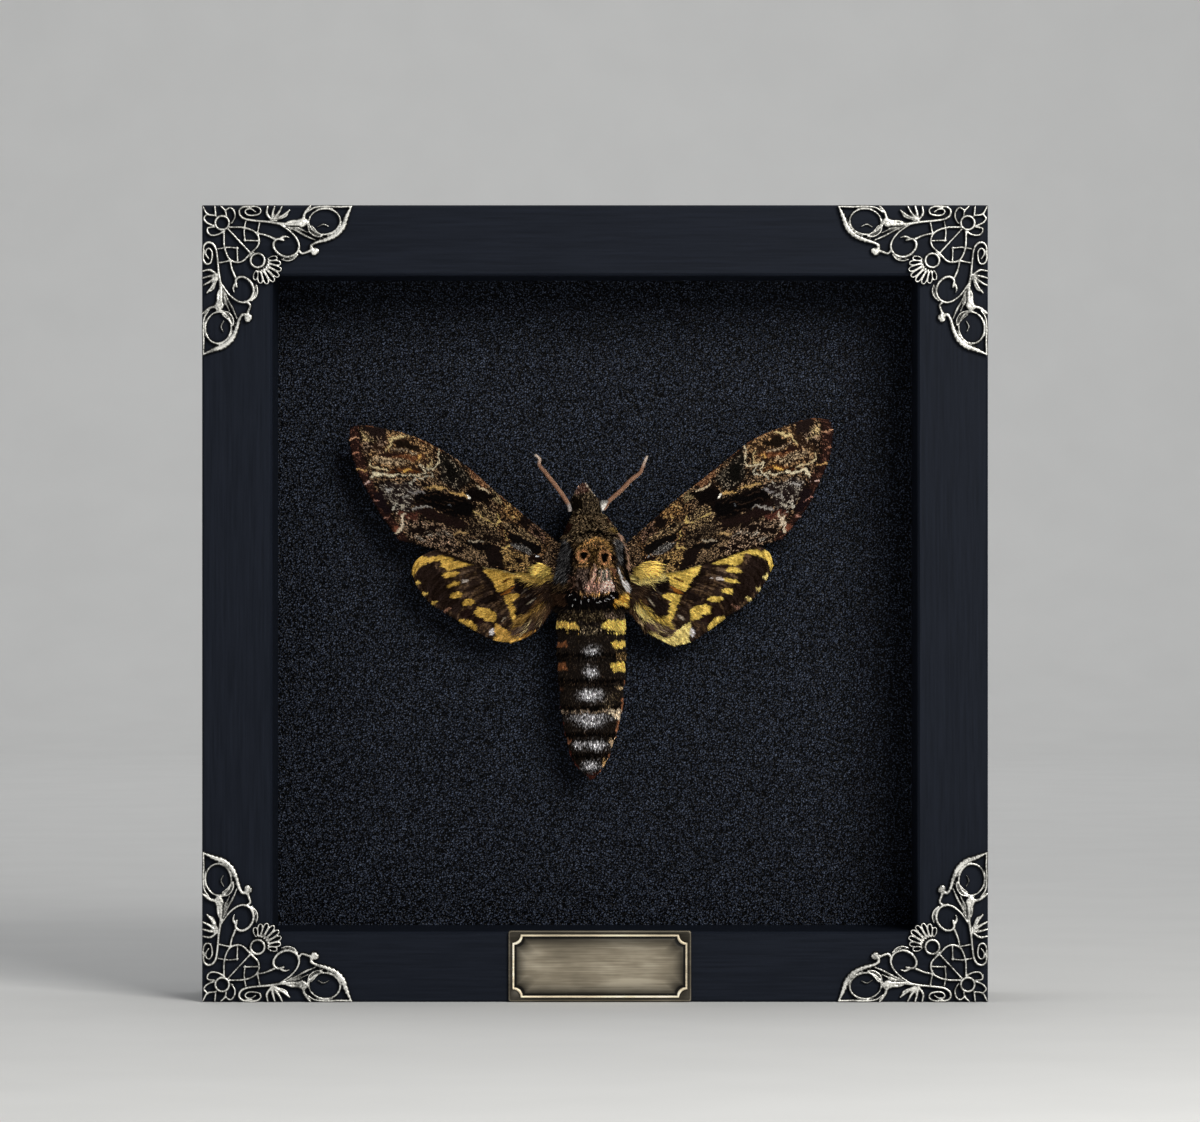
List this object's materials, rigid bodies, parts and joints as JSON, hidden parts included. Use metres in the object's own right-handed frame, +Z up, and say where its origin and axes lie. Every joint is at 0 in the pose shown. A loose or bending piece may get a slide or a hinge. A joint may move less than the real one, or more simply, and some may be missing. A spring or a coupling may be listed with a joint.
{
  "type": "deaths head hawkmoth",
  "caption": "Death's head hawkmoth set with spread wings in a black shadow-box frame with pierced metal corners and a blank brass plaque.",
  "frame": {"origin": "centre of the bounding box in plan, at the bottom edge that the frame stands on", "axes": "+Z up along the moth's body from abdomen to head, the open front of the box and the moth's upper side face -Y, +X to the viewer's right"},
  "size_m": [0.18, 0.0395, 0.1825],
  "materials": {
    "black_painted_wood": "satin black paint with a faint grain",
    "dark_leatherette": "pebbled blue-black leatherette",
    "antiqued_silver": "antiqued, dark in the recesses",
    "antiqued_brass": "brushed and antiqued, with a bright raised border",
    "black_foam": "matte",
    "thorax_fur": "dry insect cuticle under short fur",
    "moth_eye": "glossy, nearly black",
    "abdomen_scales": "dry insect cuticle under short fur",
    "antenna_scales": "matte scales",
    "leg_scales": "matte scales",
    "forewing_scales": "matte wing scales, mottled brown",
    "hindwing_scales": "matte wing scales, yellow and dark brown"
  },
  "bodies": {
    "root": {"frame_rail_top": "black_painted_wood", "frame_rail_bottom": "black_painted_wood", "frame_rail_left": "black_painted_wood", "frame_rail_right": "black_painted_wood", "backing_board": "dark_leatherette", "corner_ornament_top_left": "antiqued_silver", "corner_ornament_top_right": "antiqued_silver", "corner_ornament_bottom_left": "antiqued_silver", "corner_ornament_bottom_right": "antiqued_silver", "plaque": "antiqued_brass", "mount_pad": "black_foam", "head": "thorax_fur", "eye_left": "moth_eye", "eye_right": "moth_eye", "antenna_left": "antenna_scales", "antenna_right": "antenna_scales", "thorax": "thorax_fur", "abdomen": "abdomen_scales", "forewing_left": "forewing_scales", "forewing_right": "forewing_scales", "hindwing_left": "hindwing_scales", "hindwing_right": "hindwing_scales", "leg_front_left": "leg_scales", "leg_front_right": "leg_scales", "leg_middle_left": "leg_scales", "leg_middle_right": "leg_scales", "leg_hind_left": "leg_scales", "leg_hind_right": "leg_scales"}
  },
  "joints": []
}
